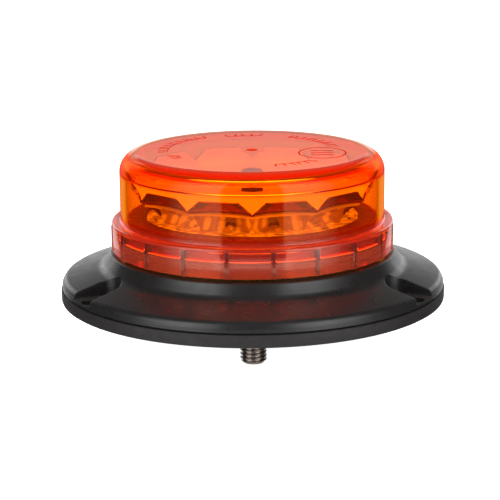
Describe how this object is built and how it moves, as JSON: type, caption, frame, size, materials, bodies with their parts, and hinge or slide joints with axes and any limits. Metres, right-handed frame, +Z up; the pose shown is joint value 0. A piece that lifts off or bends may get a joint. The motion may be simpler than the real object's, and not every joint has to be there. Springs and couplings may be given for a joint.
{
  "type": "LED warning beacon",
  "caption": "Low round amber LED warning beacon: clear amber dome with a ribbed skirt over a scooped reflector, on a black flanged base with screw pockets, a rubber pad and a threaded stud.",
  "frame": {"origin": "centre of the mounting face, which is the underside of the base pad, on the stud's axis", "axes": "+Z up along the stud's axis towards the dome, -Y the front with a screw pocket either side of it, +X right"},
  "size_m": [0.14, 0.14, 0.08],
  "materials": {
    "black_plastic": "satin moulded",
    "black_rubber": "matte",
    "zinc_steel": "bright zinc plate",
    "dark_steel": "black oxide",
    "grey_plastic": "matte",
    "board_green": "solder mask",
    "board_white": "white solder mask",
    "chip_black": "moulded epoxy",
    "led_package": "phosphor and silicone",
    "aluminium": "plain",
    "brass": "machined",
    "mirror_metal": "vacuum metallised",
    "deep_amber": "deep red-amber moulding",
    "amber_lens": "clear amber polycarbonate, polished"
  },
  "bodies": {
    "base": {"base_gasket": "black_rubber", "base_housing": "black_plastic", "board_screw_1": "zinc_steel", "board_screw_2": "zinc_steel", "board_screw_3": "zinc_steel", "board_standoff_1": "brass", "board_standoff_2": "brass", "board_standoff_3": "brass", "cable_grommet": "black_rubber", "capacitor_1": "aluminium", "capacitor_2": "aluminium", "capacitor_3": "aluminium", "controller_chip": "chip_black", "driver_board": "board_green", "driver_chip": "chip_black", "driver_screw_1": "zinc_steel", "driver_screw_2": "zinc_steel", "driver_screw_3": "zinc_steel", "heat_spreader": "aluminium", "inductor": "chip_black", "inner_bezel": "deep_amber", "led_01": "led_package", "led_02": "led_package", "led_03": "led_package", "led_04": "led_package", "led_05": "led_package", "led_06": "led_package", "led_07": "led_package", "led_08": "led_package", "led_09": "led_package", "led_10": "led_package", "led_11": "led_package", "led_12": "led_package", "led_board": "board_white", "link_connector": "chip_black", "mounting_stud": "zinc_steel", "power_transistor": "chip_black", "reflector": "mirror_metal", "reflector_screw": "dark_steel", "stud_seal": "black_rubber", "stud_washer": "zinc_steel", "suppressor_diode": "chip_black", "vent_plug": "grey_plastic", "wire_terminal": "grey_plastic"},
    "seal_carrier": {"lens_seal": "black_rubber"},
    "lens_body": {"lens": "amber_lens"}
  },
  "joints": [
    {"name": "lens_lift", "type": "slide", "parent": "base", "child": "seal_carrier", "axis": [0, 0, 1], "range_m": [0, 0.0361]},
    {"name": "lens_twist", "type": "hinge", "parent": "seal_carrier", "child": "lens_body", "pos_m": [0, 0, 0.0187], "axis": [0, 0, 1], "range_deg": [0, 540]}
  ],
  "couplings": [
    {"joint": "lens_lift", "follows": "lens_twist", "m_per_rad": 0.0038197}
  ]
}
